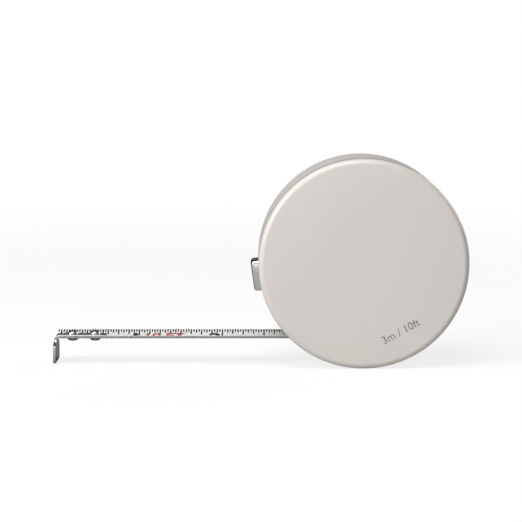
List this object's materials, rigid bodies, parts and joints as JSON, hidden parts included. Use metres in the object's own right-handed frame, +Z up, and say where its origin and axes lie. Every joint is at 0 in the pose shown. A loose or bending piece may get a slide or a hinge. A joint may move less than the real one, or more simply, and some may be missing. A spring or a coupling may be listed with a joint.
{
  "type": "tape measure",
  "caption": "Round pocket tape measure with a painted two-shell case, a sprung reel, a curved blade with a floating end hook and a push button that frees the brake.",
  "frame": {"origin": "middle of the overall box in X and Y, on the surface that the case's rim stands on", "axes": "+Z up; the case axis is along Y with the front face towards -Y; the blade leaves the case towards -X and the case is at the +X end"},
  "size_m": [0.1242, 0.028, 0.0625],
  "materials": {
    "case_paint": "satin warm-grey paint over metal shells",
    "black_plastic": "moulded black plastic",
    "white_plastic": "moulded off-white plastic",
    "plated_steel": "zinc-plated steel",
    "hook_plate": "bright nickel-plated steel",
    "spring_steel": "blued spring steel",
    "blade_enamel": "white satin enamel on thin spring steel",
    "brake_rubber": "black rubber",
    "button_metal": "polished metal"
  },
  "bodies": {
    "case": {"front_shell": "case_paint", "rear_shell": "case_paint", "chassis": "black_plastic", "mouth_guide": "black_plastic", "spring_post": "plated_steel", "hub_washer": "plated_steel", "hub_screw": "plated_steel", "mainspring": "spring_steel", "lever_pin": "plated_steel", "lever_spring": "spring_steel", "case_screw_1": "plated_steel", "case_screw_2": "plated_steel", "case_screw_3": "plated_steel"},
    "tape": {"blade": "blade_enamel", "hook_rivet_outer": "hook_plate", "hook_rivet_inner": "hook_plate"},
    "hook": {"end_hook": "hook_plate"},
    "reel": {"drum": "white_plastic", "drum_cover": "white_plastic", "tape_coil": "blade_enamel"},
    "button": {"lock_button": "button_metal"},
    "lever": {"brake_lever": "black_plastic", "brake_pad": "brake_rubber"}
  },
  "joints": [
    {"name": "tape_slide", "type": "slide", "parent": "case", "child": "tape", "axis": [-1, 0, 0], "range_m": [-0.072, 0.019], "deforming": ["blade"]},
    {"name": "hook_float", "type": "slide", "parent": "tape", "child": "hook", "axis": [-1, 0, 0], "range_m": [0, 0.0008]},
    {"name": "reel_spin", "type": "hinge", "parent": "case", "child": "reel", "pos_m": [0.03088, 0, 0.03123], "axis": [0, 1, 0], "range_deg": [-189, 50]},
    {"name": "button_press", "type": "slide", "parent": "case", "child": "button", "axis": [0.9903, 0, 0.1392], "range_m": [0, 0.0012], "stiffness_N_per_m": 600, "springref_m": -0.002},
    {"name": "lever_rock", "type": "hinge", "parent": "case", "child": "lever", "pos_m": [0.00816, 0, 0.01839], "axis": [0, 1, 0], "range_deg": [0, 7.5]}
  ],
  "couplings": [
    {"joint": "reel_spin", "follows": "tape_slide", "rad_per_m": 45.66},
    {"joint": "lever_rock", "follows": "button_press", "rad_per_m": 104.67}
  ]
}
